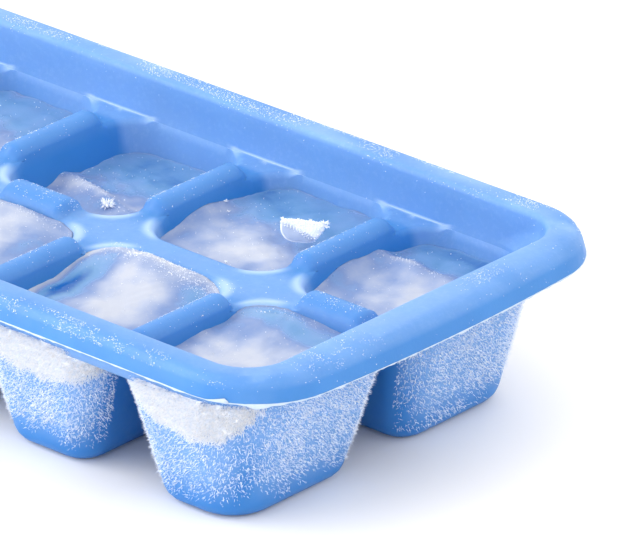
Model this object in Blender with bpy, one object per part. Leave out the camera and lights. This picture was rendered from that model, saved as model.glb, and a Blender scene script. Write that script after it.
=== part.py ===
# A fourteen cell ice cube tray, moulded in one piece, with the ice frozen fast in its cells.
# Metres, +Z up. The origin is on the floor under the middle of the tray.
# +X runs along the tray, and -Y is its front.
import math

import bmesh
import bpy
from mathutils import Matrix

MM = 0.001

# Driving dimensions of the moulding
COLUMNS = 7
PITCH = 41.2 * MM
RIM_HALF_X = 151.3 * MM
RIM_HALF_Y = 55.5 * MM
RIM_TOP = 38.8 * MM
SKIRT_BOTTOM = 34.0 * MM
SKIRT_RADIUS = 18.0 * MM
SKIRT_WALL = 1.4 * MM
END_BOW = 3.2 * MM
BOW_FADE = 6.5 * MM
WALL = 1.5 * MM
WEB_TOP = 29.0 * MM
WEB_BOTTOM = WEB_TOP - WALL
BASIN_TOP_X = 142.8 * MM
BASIN_TOP_Y = 47.6 * MM
BASIN_RADIUS = 9.0 * MM
SILL = 0.3 * MM
SILL_WIDTH = 0.8 * MM
HEM_DROP = 2.4 * MM
# The rim's rounded edges, outer and inner: distance in from the skirt's foot, or out from the basin's
# wall, and drop below the rim's top
RIM_EDGE = ((0.0, RIM_TOP - SKIRT_BOTTOM), (0.7 * MM, 2.3 * MM), (1.8 * MM, 0.8 * MM), (3.6 * MM, 0.0))
BASIN_LIP = ((1.6 * MM, 0.0), (0.4 * MM, 0.5 * MM), (0.0, 1.6 * MM))

# The cells, given by their cavities at the web's top and by their sharp outer feet
DIVIDER_HALF = 3.3 * MM
SPINE_HALF = 4.0 * MM
CAVITY_TOP_Y = 46.9 * MM
CAVITY_TOP_END_X = 141.6 * MM
CAVITY_TOP_RADIUS = 8.0 * MM
OUTER_CORNER_TOP = 16.5 * MM
OUTER_CORNER_FOOT = 9.5 * MM
FOOT_HALF_X = 10.9 * MM
FOOT_NEAR_Y = 8.0 * MM
FOOT_FAR_Y = 42.7 * MM
FOOT_RADIUS = 6.0 * MM
FOOT_FILLET = 3.2 * MM

# The bars on the web
BAR_RADIUS = 3.0 * MM
BAR_NEAR_Y = 11.5 * MM
BAR_FAR_Y = 38.4 * MM
SPINE_BAR_HALF = 9.4 * MM
# A bar's half round section in shares of its radius: distance in from its side, and height
BAR_SECTION = ((0.0, -0.2), (0.06, 0.35), (0.34, 0.75), (0.8, 1.0))

# Ice and frost. The heights of each cube's brim at the walls and of its crown, column by column.
GAP = 0.3 * MM
FRONT_BRIMS = (26.4 * MM, 26.8 * MM, 26.4 * MM, 27.0 * MM, 27.0 * MM, 27.4 * MM, 27.2 * MM)
FRONT_CROWNS = (29.2 * MM, 29.9 * MM, 29.0 * MM, 30.2 * MM, 29.9 * MM, 31.2 * MM, 29.6 * MM)
BACK_BRIMS = (25.0 * MM, 25.4 * MM, 25.2 * MM, 24.2 * MM, 21.8 * MM, 25.4 * MM, 25.2 * MM)
BACK_CROWNS = (27.6 * MM, 27.2 * MM, 27.4 * MM, 25.8 * MM, 23.6 * MM, 27.0 * MM, 27.8 * MM)
CROWN_INSET = 8.0 * MM
CRUST = 1.0 * MM
CRUST_BOTTOM = 4.0 * MM
CHIP_LENGTH = 9.4 * MM
CHIP_HEIGHT = 5.0 * MM
CHIP_THICKNESS = 1.8 * MM
CHIP_ROUND = 1.8 * MM
CHIP_NIB = 0.6 * MM
CHIP_CENTRE = (91.8 * MM, 24.8 * MM, 29.6 * MM)
CHIP_TURN = math.radians(33)
CHIP_LEAN = math.radians(-28)

CORNER_STEPS = 3
RIM_CORNER_STEPS = 5
BOW_POINTS = 5


def clear_scene():
    for item in list(bpy.data.objects):
        bpy.data.objects.remove(item, do_unlink=True)


def make_material(name, colour, roughness, transmission=0.0, ior=1.5):
    material = bpy.data.materials.new(name)
    material.use_nodes = True
    shader = material.node_tree.nodes["Principled BSDF"]
    shader.inputs["Base Color"].default_value = (*colour, 1.0)
    shader.inputs["Roughness"].default_value = roughness
    shader.inputs["Metallic"].default_value = 0.0
    shader.inputs["Transmission Weight"].default_value = transmission
    shader.inputs["IOR"].default_value = ior
    material.diffuse_color = (*colour, 1.0)
    return material


def arc_points(centre_x, centre_y, radius, start, steps):
    angles = [start + 0.5 * math.pi * step / steps for step in range(steps + 1)]
    return [(centre_x + radius * math.cos(a), centre_y + radius * math.sin(a)) for a in angles]


def box_outline(x0, x1, y0, y1, radius, steps, far_right=None, far_left=None):
    # Anticlockwise from the corner at high X and low Y. The two corners at high Y may be rounder.
    right = far_right or radius
    left = far_left or radius
    points = arc_points(x1 - radius, y0 + radius, radius, -0.5 * math.pi, steps)
    points += arc_points(x1 - right, y1 - right, right, 0.0, steps)
    points += arc_points(x0 + left, y1 - left, left, 0.5 * math.pi, steps)
    points += arc_points(x0 + radius, y0 + radius, radius, math.pi, steps)
    return points


def bowed_outline(half_x, half_y, radius, bow):
    # A rounded rectangle whose two short ends bulge outward by the bow
    quarter = RIM_CORNER_STEPS + 1
    corners = box_outline(-half_x, half_x, -half_y, half_y, radius, RIM_CORNER_STEPS)
    straight = half_y - radius
    rows = [straight * (2 * (k + 1) / (BOW_POINTS + 1) - 1) for k in range(BOW_POINTS)]
    right = [(half_x, y) for y in rows]
    left = [(-half_x, -y) for y in rows]
    points = corners[:quarter] + right + corners[quarter:3 * quarter] + left + corners[3 * quarter:]
    shaped = []
    for x, y in points:
        reach = max(0.0, 1.0 - (y / half_y) ** 2)
        shaped.append((x + math.copysign(bow * reach, x) * (abs(x) > half_x - radius), y))
    return shaped


def add_ring(mesh, points, height):
    return [mesh.verts.new((x, y, height)) for x, y in points]


def bridge(mesh, lower, upper):
    count = len(lower)
    for k in range(count):
        following = (k + 1) % count
        mesh.faces.new((lower[k], lower[following], upper[following], upper[k]))


def add_loft(mesh, levels):
    # A closed body through outlines given from the bottom up, each as (points, height)
    rings = [add_ring(mesh, points, height) for points, height in levels]
    for lower, upper in zip(rings, rings[1:]):
        bridge(mesh, lower, upper)
    mesh.faces.new(list(reversed(rings[0])))
    mesh.faces.new(rings[-1])


def add_sweep(mesh, levels):
    # A ring shaped body whose section runs through the outlines and closes on itself
    rings = [add_ring(mesh, points, height) for points, height in levels]
    for lower, upper in zip(rings, rings[1:] + rings[:1]):
        bridge(mesh, lower, upper)


def make_object(name, mesh, material=None):
    data = bpy.data.meshes.new(name)
    bmesh.ops.recalc_face_normals(mesh, faces=mesh.faces)
    mesh.to_mesh(data)
    mesh.free()
    item = bpy.data.objects.new(name, data)
    bpy.context.scene.collection.objects.link(item)
    if material:
        data.materials.append(material)
        data.shade_smooth()
        data.set_sharp_from_angle(angle=math.radians(40))
    else:
        item.hide_render = True
        item.display_type = "WIRE"
    return item


def combine(target, tool, operation):
    modifier = target.modifiers.new(tool.name, "BOOLEAN")
    modifier.operation = operation
    modifier.solver = "EXACT"
    modifier.object = tool


def lerp(a, b, t):
    return a + (b - a) * t


def cavity_outline(column, height, inset=0.0):
    # The cavity of a back cell at a height. Each wall is a straight line from the foot,
    # one wall thickness in, up to the web's top. The tray's own corners are rounder.
    t = height / WEB_TOP
    middle = (column - (COLUMNS - 1) / 2) * PITCH
    top_low = middle - 0.5 * PITCH + DIVIDER_HALF
    top_high = middle + 0.5 * PITCH - DIVIDER_HALF
    foot_half = FOOT_HALF_X - WALL
    radius = max(lerp(FOOT_RADIUS - WALL, CAVITY_TOP_RADIUS, t) - inset, 0.5 * MM)
    outer_radius = max(lerp(OUTER_CORNER_FOOT - WALL, OUTER_CORNER_TOP, t) - inset, 0.5 * MM)
    far_left = far_right = radius
    if column == 0:
        top_low = -CAVITY_TOP_END_X
        far_left = outer_radius
    if column == COLUMNS - 1:
        top_high = CAVITY_TOP_END_X
        far_right = outer_radius
    return box_outline(lerp(middle - foot_half, top_low, t) + inset,
                       lerp(middle + foot_half, top_high, t) - inset,
                       lerp(FOOT_NEAR_Y + WALL, SPINE_HALF, t) + inset,
                       lerp(FOOT_FAR_Y - WALL, CAVITY_TOP_Y, t) - inset,
                       radius, CORNER_STEPS, far_right, far_left)


def mirror_row(points, row):
    # The front row is the back row seen in a mirror, with the outline's direction kept
    if row > 0:
        return points
    return [(x, -y) for x, y in reversed(points)]


def cell_outline(column, row, height, inset):
    return mirror_row(cavity_outline(column, height, inset), row)


def fillet_levels(column, row, bottom, skin, fillet):
    # The rounded bottom of a cell: three outlines along a quarter circle
    levels = []
    for angle in (90.0, 52.0, 15.0):
        turn = math.radians(angle)
        inset = fillet * (1 - math.cos(turn)) + skin
        height = bottom + fillet * (1 - math.sin(turn))
        levels.append((cell_outline(column, row, height, inset), height))
    return levels


def each_cell():
    return [(column, row) for row in (-1, 1) for column in range(COLUMNS)]


def row_name(row):
    return "front" if row < 0 else "back"


def build_rim():
    # The section of rim and basin wall, as distances in from the skirt's foot across the long sides
    # and across the ends, then the height and the corner's radius
    basin_y = RIM_HALF_Y - BASIN_TOP_Y
    basin_x = RIM_HALF_X - BASIN_TOP_X
    sill_y = RIM_HALF_Y - CAVITY_TOP_Y
    sill_x = RIM_HALF_X - CAVITY_TOP_END_X
    sill_top = WEB_TOP + SILL
    sill_bottom = WEB_BOTTOM - SILL
    hem = RIM_TOP - HEM_DROP
    section = [(inset, inset, RIM_TOP - drop, SKIRT_RADIUS - inset) for inset, drop in RIM_EDGE]
    section += [(basin_y - out, basin_x - out, RIM_TOP - drop, BASIN_RADIUS + out) for out, drop in BASIN_LIP]
    section += [
        (sill_y, sill_x, sill_top, OUTER_CORNER_TOP),
        (sill_y + SILL_WIDTH, sill_x + SILL_WIDTH, sill_top, OUTER_CORNER_TOP),
        (sill_y + SILL_WIDTH, sill_x + SILL_WIDTH, sill_bottom, OUTER_CORNER_TOP),
        (sill_y - WALL, sill_x - WALL, sill_bottom, OUTER_CORNER_TOP + WALL),
        (basin_y - WALL, basin_x - WALL, hem, BASIN_RADIUS + WALL),
        (SKIRT_WALL + SILL_WIDTH, SKIRT_WALL + SILL_WIDTH, hem, SKIRT_RADIUS - SKIRT_WALL - SILL_WIDTH),
        (SKIRT_WALL, SKIRT_WALL, SKIRT_BOTTOM, SKIRT_RADIUS - SKIRT_WALL),
    ]
    levels = []
    for inset_y, inset_x, height, radius in section:
        bow = END_BOW * max(0.0, 1.0 - inset_x / BOW_FADE)
        outline = bowed_outline(RIM_HALF_X - inset_x, RIM_HALF_Y - inset_y, radius, bow)
        levels.append((outline, height))
    mesh = bmesh.new()
    add_sweep(mesh, levels)
    return mesh


def build_web():
    half_x = CAVITY_TOP_END_X + 2 * SILL
    half_y = CAVITY_TOP_Y + 2 * SILL
    radius = OUTER_CORNER_TOP
    outline = box_outline(-half_x, half_x, -half_y, half_y, radius, RIM_CORNER_STEPS)
    mesh = bmesh.new()
    add_loft(mesh, [(outline, WEB_BOTTOM), (outline, WEB_TOP)])
    return mesh


def build_cell_walls():
    mesh = bmesh.new()
    for column, row in each_cell():
        levels = fillet_levels(column, row, 0.0, -WALL, FOOT_FILLET)
        height = 0.5 * (WEB_BOTTOM + WEB_TOP)
        levels.append((cell_outline(column, row, height, -WALL), height))
        add_loft(mesh, levels)
    return mesh


def build_cavities():
    mesh = bmesh.new()
    for column, row in each_cell():
        levels = fillet_levels(column, row, WALL, 0.0, FOOT_FILLET - WALL)
        height = WEB_TOP + 3 * SILL
        levels.append((cell_outline(column, row, height, 0.0), height))
        add_loft(mesh, levels)
    return mesh


def add_bar(mesh, x0, x1, y0, y1):
    # A half round bar with half round ends, its foot sunk in the web
    levels = []
    for inset, lift in BAR_SECTION:
        edge = inset * BAR_RADIUS
        radius = BAR_RADIUS - edge - 0.01 * MM
        outline = box_outline(x0 + edge, x1 - edge, y0 + edge, y1 - edge, radius, 2)
        levels.append((outline, WEB_TOP + lift * BAR_RADIUS))
    add_loft(mesh, levels)


def build_bars():
    mesh = bmesh.new()
    for divider in range(COLUMNS - 1):
        middle = (divider - (COLUMNS - 2) / 2) * PITCH
        low, high = middle - BAR_RADIUS, middle + BAR_RADIUS
        add_bar(mesh, low, high, BAR_NEAR_Y, BAR_FAR_Y)
        add_bar(mesh, low, high, -BAR_FAR_Y, -BAR_NEAR_Y)
    for column in range(0, COLUMNS, 2):
        middle = (column - (COLUMNS - 1) / 2) * PITCH
        add_bar(mesh, middle - SPINE_BAR_HALF, middle + SPINE_BAR_HALF, -BAR_RADIUS, BAR_RADIUS)
    return mesh


def build_tray(plastic):
    tray = make_object("tray", build_rim(), plastic)
    combine(tray, make_object("web_tool", build_web()), "UNION")
    combine(tray, make_object("cell_wall_tool", build_cell_walls()), "UNION")
    combine(tray, make_object("bar_tool", build_bars()), "UNION")
    combine(tray, make_object("cavity_tool", build_cavities()), "DIFFERENCE")
    return tray


def build_ice(column, row, ice):
    # The cube fills its cavity, one gap short of the walls, and swells to its crown
    brim = (FRONT_BRIMS if row < 0 else BACK_BRIMS)[column]
    crown = (FRONT_CROWNS if row < 0 else BACK_CROWNS)[column]
    levels = fillet_levels(column, row, WALL + GAP, GAP, FOOT_FILLET - WALL)
    levels.append((cell_outline(column, row, brim, GAP), brim))
    levels.append((cell_outline(column, row, brim, CROWN_INSET), crown))
    mesh = bmesh.new()
    add_loft(mesh, levels)
    return make_object(f"ice_{row_name(row)}_{column + 1}", mesh, ice)


def build_frost(column, row, frost):
    # A crust that wraps a cell's outer wall between its rounded corners, and an end cell's end wall too
    quarter = CORNER_STEPS + 1
    span = range(quarter, 3 * quarter)
    if column == COLUMNS - 1:
        span = range(1, 3 * quarter)
    if column == 0:
        span = range(quarter, 4 * quarter - 1)
    layers = []
    for skin in (-WALL - GAP - CRUST, -WALL - GAP):
        for height in (CRUST_BOTTOM, WEB_BOTTOM - 0.8 * MM):
            outline = cavity_outline(column, height, skin)
            points = [(outline[k][0], outline[k][1] * row) for k in span]
            layers.append((points, height))
    mesh = bmesh.new()
    outer_low, outer_high, inner_low, inner_high = (add_ring(mesh, points, z) for points, z in layers)
    for k in range(len(outer_low) - 1):
        mesh.faces.new((outer_low[k], outer_low[k + 1], outer_high[k + 1], outer_high[k]))
        mesh.faces.new((inner_low[k], inner_high[k], inner_high[k + 1], inner_low[k + 1]))
        mesh.faces.new((outer_low[k], inner_low[k], inner_low[k + 1], outer_low[k + 1]))
        mesh.faces.new((outer_high[k], outer_high[k + 1], inner_high[k + 1], inner_high[k]))
    for k in (0, -1):
        mesh.faces.new((outer_low[k], outer_high[k], inner_high[k], inner_low[k]))
    return make_object(f"frost_{row_name(row)}_{column + 1}", mesh, frost)


def build_chip(ice):
    # A thin flake that stands on the ice of one back cell, leaning back, its lower corners round
    half = 0.5 * CHIP_LENGTH
    outline = box_outline(-half, half, 0.0, CHIP_HEIGHT, CHIP_ROUND, 2, CHIP_NIB, CHIP_NIB)
    small = [(0.9 * x, 0.1 * CHIP_HEIGHT + 0.8 * y) for x, y in outline]
    mesh = bmesh.new()
    add_loft(mesh, [(small, 0.0), (outline, 0.5 * CHIP_THICKNESS), (small, CHIP_THICKNESS)])
    standing = Matrix.Rotation(0.5 * math.pi + CHIP_LEAN, 4, "X")
    centring = Matrix.Translation((0.0, -0.5 * CHIP_HEIGHT, -0.5 * CHIP_THICKNESS))
    bmesh.ops.transform(mesh, matrix=standing @ centring, verts=mesh.verts)
    chip = make_object("ice_chip", mesh, ice)
    chip.location = CHIP_CENTRE
    chip.rotation_euler = (0.0, 0.0, CHIP_TURN)
    return chip


def main():
    clear_scene()
    plastic = make_material("blue_polyethylene", (0.09, 0.34, 0.80), 0.42)
    ice = make_material("ice", (0.80, 0.84, 0.93), 0.12, transmission=0.85, ior=1.31)
    frost = make_material("frost", (0.82, 0.87, 0.97), 0.75)
    build_tray(plastic)
    for column, row in each_cell():
        build_ice(column, row, ice)
        build_frost(column, row, frost)
    build_chip(ice)


main()
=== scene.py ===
# A filled ice cube tray: blue moulding, cloudy ice in fourteen cells, hoarfrost on the outside.
# Working lengths are millimetres and go into the meshes as metres.
import math

import bpy
import numpy as np
from mathutils import Matrix, Vector


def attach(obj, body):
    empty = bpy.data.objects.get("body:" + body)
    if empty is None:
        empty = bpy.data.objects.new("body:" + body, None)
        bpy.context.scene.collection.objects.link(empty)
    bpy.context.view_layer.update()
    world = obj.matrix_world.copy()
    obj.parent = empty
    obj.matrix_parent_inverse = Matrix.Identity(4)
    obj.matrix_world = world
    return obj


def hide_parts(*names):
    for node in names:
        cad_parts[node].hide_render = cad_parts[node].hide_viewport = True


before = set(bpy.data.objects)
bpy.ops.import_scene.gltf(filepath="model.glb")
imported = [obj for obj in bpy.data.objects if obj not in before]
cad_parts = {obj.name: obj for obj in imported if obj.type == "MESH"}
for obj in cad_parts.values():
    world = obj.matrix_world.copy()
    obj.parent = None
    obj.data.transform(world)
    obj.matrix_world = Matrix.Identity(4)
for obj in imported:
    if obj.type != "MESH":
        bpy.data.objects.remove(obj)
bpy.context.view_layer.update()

mm = 0.001


def smooth(t):
    # An S curve from 0 to 1: three t squared less two t cubed
    t = np.clip(t, 0.0, 1.0)
    return t * t * (3.0 - 2.0 * t)


def ripple(points, size, seed):
    # Soft noise, mostly between -1 and 1: ten sine waves of seeded direction, length and phase, added up
    source = np.random.default_rng(seed)
    total = np.zeros(points.shape[:-1])
    for wave in range(10):
        heading = source.normal(size=3)
        heading /= np.linalg.norm(heading)
        rate = 2.0 * math.pi / (size * source.uniform(0.6, 1.6))
        total += np.sin(points @ heading * rate + source.uniform(0.0, 6.28))
    return total / 3.2


def hill(points, x, y, wide, deep, turn=0.0):
    # A round hill in plan: e to the minus squared distance, measured in its two half widths
    dx = points[..., 0] - x
    dy = points[..., 1] - y
    c, s = math.cos(math.radians(turn)), math.sin(math.radians(turn))
    return np.exp(-((c * dx + s * dy) / wide) ** 2 - ((c * dy - s * dx) / deep) ** 2)


def gridFaces(rows, columns, wrap=False, flip=False):
    # Quads between neighbouring rows and columns of a grid of points, kept row by row
    row = np.arange(rows - 1)[:, None]
    column = np.arange(columns if wrap else columns - 1)[None, :]
    following = (column + 1) % columns
    corners = [row * columns + column, row * columns + following,
               (row + 1) * columns + following, (row + 1) * columns + column]
    if flip:
        corners.reverse()
    return np.stack(np.broadcast_arrays(*corners), -1).reshape(-1, 4)


def fanFaces(ring, middle, flip=False):
    # Triangles from a closed ring of points to one middle point
    following = np.roll(ring, -1)
    faces = np.stack([ring, following, np.full(len(ring), middle)], -1)
    return faces[:, ::-1] if flip else faces


def closedSkin(grid, upper, lower, flip):
    # A grid of closed rings with a fan to a middle point at each end
    rows, columns = grid.shape[:2]
    points = np.concatenate([grid.reshape(-1, 3), [upper], [lower]])
    firstRing = np.arange(columns)
    fans = [fanFaces(firstRing, rows * columns, not flip),
            fanFaces(firstRing + (rows - 1) * columns, rows * columns + 1, flip)]
    return points, [gridFaces(rows, columns, True, flip), np.concatenate(fans)]


def weld(points, faceSets, marks):
    # Points that share a place, to two thousandths of a millimetre, become one
    cells = np.round(points / 0.002).astype(np.int64)
    first, inverse = np.unique(cells, axis=0, return_index=True, return_inverse=True)[1:]
    inverse = inverse.reshape(-1)
    marks = {name: values[first] for name, values in marks.items()}
    return points[first], [inverse[faces] for faces in faceSets], marks


def putMesh(name, points, faceSets, material, marks=None, flat=False):
    # A mesh from points in millimetres and arrays of faces, with a number for each point under each
    # mark's name. It rides on the one body.
    data = bpy.data.meshes.new(name)
    data.vertices.add(len(points))
    data.vertices.foreach_set("co", np.ascontiguousarray(points * mm, dtype=np.float32).ravel())
    sizes = np.concatenate([np.full(len(faces), faces.shape[1]) for faces in faceSets])
    corners = np.concatenate([faces.ravel() for faces in faceSets]).astype(np.int32)
    data.loops.add(len(corners))
    data.loops.foreach_set("vertex_index", corners)
    data.polygons.add(len(sizes))
    starts = np.concatenate([[0], np.cumsum(sizes)[:-1]]).astype(np.int32)
    data.polygons.foreach_set("loop_start", starts)
    data.update(calc_edges=True)
    data.validate()
    for mark, values in (marks or {}).items():
        layer = data.attributes.new(mark, "FLOAT", "POINT")
        layer.data.foreach_set("value", np.ascontiguousarray(values, dtype=np.float32))
    data.polygons.foreach_set("use_smooth", np.full(len(data.polygons), not flat))
    data.materials.append(material)
    item = bpy.data.objects.new(name, data)
    bpy.context.scene.collection.objects.link(item)
    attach(item, "root")
    return item


def newMaterial(name, roughness=0.5, ior=1.5):
    # A material, its node tree, the place within the object and the surface shader
    material = bpy.data.materials.new(name)
    material.use_nodes = True
    tree = material.node_tree
    shader = tree.nodes["Principled BSDF"]
    shader.inputs["Roughness"].default_value = roughness
    shader.inputs["IOR"].default_value = ior
    place = tree.nodes.new("ShaderNodeTexCoord").outputs["Object"]
    return material, tree, place, shader


def noiseNode(tree, place, scale, detail=4.0, roughness=0.55):
    # Noise from about 0.25 to 0.75 by place
    node = tree.nodes.new("ShaderNodeTexNoise")
    node.inputs["Scale"].default_value = scale
    node.inputs["Detail"].default_value = detail
    node.inputs["Roughness"].default_value = roughness
    tree.links.new(place, node.inputs["Vector"])
    return node.outputs["Fac"]


def rangeNode(tree, value, low, high, newLow=0.0, newHigh=1.0):
    # A value's way from low to high carried over to the new range, and held at its ends
    node = tree.nodes.new("ShaderNodeMapRange")
    for socket, number in (("From Min", low), ("From Max", high), ("To Min", newLow), ("To Max", newHigh)):
        node.inputs[socket].default_value = number
    tree.links.new(value, node.inputs["Value"])
    return node.outputs["Result"]


def mathNode(tree, operation, first, second):
    # One sum or product of numbers or node outputs
    node = tree.nodes.new("ShaderNodeMath")
    node.operation = operation
    for index, value in enumerate((first, second)):
        if isinstance(value, (int, float)):
            node.inputs[index].default_value = value
        else:
            tree.links.new(value, node.inputs[index])
    return node.outputs[0]


def mixColour(tree, factor, first, second):
    # The first colour where the factor is 0, the second where it is 1
    node = tree.nodes.new("ShaderNodeMix")
    node.data_type = "RGBA"
    tree.links.new(factor, node.inputs["Factor"])
    for socket, value in ((6, first), (7, second)):
        if isinstance(value, tuple):
            node.inputs[socket].default_value = (*value, 1.0)
        else:
            tree.links.new(value, node.inputs[socket])
    return node.outputs[2]


def markNode(tree, name):
    # A mesh's own number under that name
    node = tree.nodes.new("ShaderNodeAttribute")
    node.attribute_name = name
    return node.outputs["Fac"]


def addBump(tree, shader, height, strength):
    # Small bumps from a height value, a fifth of a millimetre deep
    node = tree.nodes.new("ShaderNodeBump")
    node.inputs["Strength"].default_value = strength
    node.inputs["Distance"].default_value = 0.0002
    tree.links.new(height, node.inputs["Height"])
    tree.links.new(node.outputs["Normal"], shader.inputs["Normal"])


# The moulded tray: sizes as in the solid. A cell's land is its share of the web, which ends in the
# middle of the bars and the spine, and on the outer sides at a ledge under the basin's wall.
trayShape = dict(columns=7, pitch=41.2, wall=1.5, webTop=29.0, dividerHalf=3.3, spineHalf=4.0, ledge=0.15,
                 cavityFar=46.9, cavityEnd=141.6, cavityRadius=8.0, cornerRadius=16.5,
                 footHalf=9.4, footNear=9.5, footFar=41.2, footRadius=4.5, footCorner=8.0, footFillet=3.2,
                 barHeight=3.0, barNear=10.9, barFar=39.0, spineBarHalf=9.7, barRun=2.6,
                 edgeFillet=1.3, underFillet=1.2, ledgeLift=0.2, ledgeCurl=0.56,
                 rimHalfX=151.3, rimHalfY=55.5, bow=3.2, bowFade=6.5, basinBulge=0.55)
# Where the rings of points run: shares of the way across land and wall, and degrees round an edge
trayRings = dict(land=(1.0, 0.93, 0.8, 0.64, 0.48, 0.33, 0.2, 0.1, 0.03),
                 edge=(0.0, 18.0, 36.0, 54.0, 72.0, 90.0),
                 wall=(0.08, 0.3, 0.65, 1.0), foot=(30.0, 60.0, 90.0), underEdge=(0.0, 30.0, 60.0, 90.0),
                 outerWall=(0.3, 0.72, 1.0), outerFoot=(22.5, 45.0, 67.5, 90.0),
                 basin=(0.08, 0.18, 0.3, 0.45, 0.62, 0.8), sideX=20, sideY=26, arc=8)
# Of the two pale colours, the first is partly frost film and partly painted light on the lit upper faces, and
# the second is a painted highlight on the thin edges
plasticFinish = dict(blue=(0.034, 0.200, 0.545), deepBlue=(0.024, 0.172, 0.490), frostAndPaintedLight=(0.38, 0.55, 0.83),
                     paintedHighlight=(0.48, 0.64, 0.88), highlightStrength=0.6, frostAndLightBase=0.50, frostAndLightGrain=0.16,
                     roughness=(0.34, 0.55), specular=0.3, subsurface=0.25, bump=0.12)
# How strong each coat of frost and painted light is. Rubbed and frosted are the plastic's own rubbed and
# frosted patches; the others are painted light that lightens the lit upper faces, the rim's top, the bars,
# the spine's web and the cells' and basin's walls. The skirt's is how much of that painted light is missing
# there.
frostAndLightShares = dict(rubbed=0.58, paintedSheen=0.13, slope=0.24, bars=0.08, web=0.34, skirt=0.55, walls=0.58,
                  frosted=0.70)

# The four corners of a cell run from the right near one, anticlockwise
cornerSignX = (1.0, 1.0, -1.0, -1.0)
cornerSignY = (-1.0, 1.0, 1.0, -1.0)


def columnMiddle(column):
    # Columns stand one pitch apart, and the middle one stands at nought
    return (column - (trayShape["columns"] - 1) / 2) * trayShape["pitch"]


def isEnd(column):
    # Whether a column is the last one on the right, and whether it is the first
    return column == trayShape["columns"] - 1, column == 0


def cellSides(column, height, inset):
    # The four sides and corner radii of a back cell's cavity at a height. Each is a straight line
    # from the foot to the web's top, moved inwards by the inset.
    def between(foot, top):
        return foot * (1 - t) + top * t

    size = trayShape
    t = height / size["webTop"]
    middle = columnMiddle(column)
    half = 0.5 * size["pitch"] - size["dividerHalf"]
    last, first = isEnd(column)
    left = -size["cavityEnd"] if first else middle - half
    right = size["cavityEnd"] if last else middle + half
    sideX = [between(middle - size["footHalf"], left) + inset,
             between(middle + size["footHalf"], right) - inset]
    sideY = [between(size["footNear"], size["spineHalf"]) + inset,
             between(size["footFar"], size["cavityFar"]) - inset]
    plain = between(size["footRadius"], size["cavityRadius"]) - inset
    large = between(size["footCorner"], size["cornerRadius"]) - inset
    radii = [plain, large if last else plain, large if first else plain, plain]
    return sideX, sideY, [np.maximum(radius, 0.4) for radius in radii]


def cellSamples(column, height, skin):
    # The stations round a cell, anticlockwise from the right hand side. A station is a place between
    # two corners' arcs, or a place on one arc. Each arc has a station that looks at its land's corner.
    sideX, sideY, radii = cellSides(column, height, skin)
    last, first = isEnd(column)
    middle, half, ledge = columnMiddle(column), 0.5 * trayShape["pitch"], trayShape["ledge"]
    land = [sideX[0] - ledge if first else middle - half,
            sideX[1] + ledge if last else middle + half, 0.0, sideY[1] + ledge]
    quarter = 0.5 * math.pi
    arcs = []
    for corner in range(4):
        radius = float(radii[corner])
        right = cornerSignX[corner] > 0
        far = cornerSignY[corner] > 0
        reachX = abs(land[1 if right else 0] - sideX[1 if right else 0]) + radius
        reachY = abs(land[3 if far else 2] - sideY[1 if far else 0]) + radius
        turn = math.atan2(reachY, reachX)
        number = trayRings["arc"]
        angles = np.concatenate([np.linspace(0.0, turn, number), np.linspace(turn, quarter, number)[1:]])
        if far and ((right and last) or (not right and first)):
            angles = np.linspace(0.0, quarter, 2 * number - 1)
        arcs.append(angles)
    turned = [2.0 * math.pi - arcs[0][::-1], arcs[1], math.pi - arcs[2][::-1], math.pi + arcs[3]]
    stations = []
    for start in range(4):
        end = (start + 1) % 4
        count = trayRings["sideX" if start % 2 else "sideY"]
        share = 0.5 - 0.5 * np.cos(math.pi * np.arange(1, count) / count)
        side = np.ones(len(share), dtype=int)
        stations.append((start * side, end * side, share, np.full(len(share), 0.5 * start * math.pi)))
        where = np.full(len(turned[end]), end)
        stations.append((where, where, np.zeros(len(where)), turned[end]))
    first, second, share, angle = (np.concatenate(values) for values in zip(*stations))
    normal = np.round(np.stack([np.cos(angle), np.sin(angle)], -1), 12)
    return dict(column=column, first=first, second=second, share=share, normal=normal, land=land)


def cellPoints(samples, height, inset):
    # Places round a cell at the given heights: each arc's middle plus its radius along the station's
    # direction, blended between the two arcs that a station lies between
    height = np.broadcast_to(height, np.broadcast_shapes(np.shape(height), samples["share"].shape))
    sideX, sideY, radii = cellSides(samples["column"], height, inset)
    middlesX = np.stack([sideX[1] - radii[0], sideX[1] - radii[1], sideX[0] + radii[2], sideX[0] + radii[3]])
    middlesY = np.stack([sideY[0] + radii[0], sideY[1] - radii[1], sideY[1] - radii[2], sideY[0] + radii[3]])
    radii = np.stack([np.broadcast_to(radius, height.shape) for radius in radii])
    station = np.broadcast_to(np.arange(height.shape[-1]), height.shape)
    row = np.indices(height.shape)[:-1]
    placeX = 0.0
    placeY = 0.0
    for corner, weight in ((samples["first"], 1.0 - samples["share"]), (samples["second"], samples["share"])):
        pick = (np.broadcast_to(corner, height.shape), *row, station)
        placeX = placeX + weight * (middlesX[pick] + radii[pick] * samples["normal"][:, 0])
        placeY = placeY + weight * (middlesY[pick] + radii[pick] * samples["normal"][:, 1])
    return np.stack([placeX, placeY, height], -1)


def onRoundCorner(samples):
    # The stations on the arcs at the basin's own round corners
    last, first = isEnd(samples["column"])
    onArc = samples["first"] == samples["second"]
    return onArc & ((last & (samples["first"] == 1)) | (first & (samples["first"] == 2)))


def landReach(samples, edge):
    # How far each station is from its land's border, along the station's own direction
    land = samples["land"]
    reach = np.full(len(edge), 1e9)
    for axis in (0, 1):
        direction = samples["normal"][:, axis]
        bound = np.where(direction > 0, land[2 * axis + 1], land[2 * axis])
        with np.errstate(divide="ignore", invalid="ignore"):
            distance = (bound - edge[:, axis]) / direction
        reach = np.where(np.abs(direction) > 1e-9, np.minimum(reach, distance), reach)
    return np.where(onRoundCorner(samples), trayShape["ledge"], reach)


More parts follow.
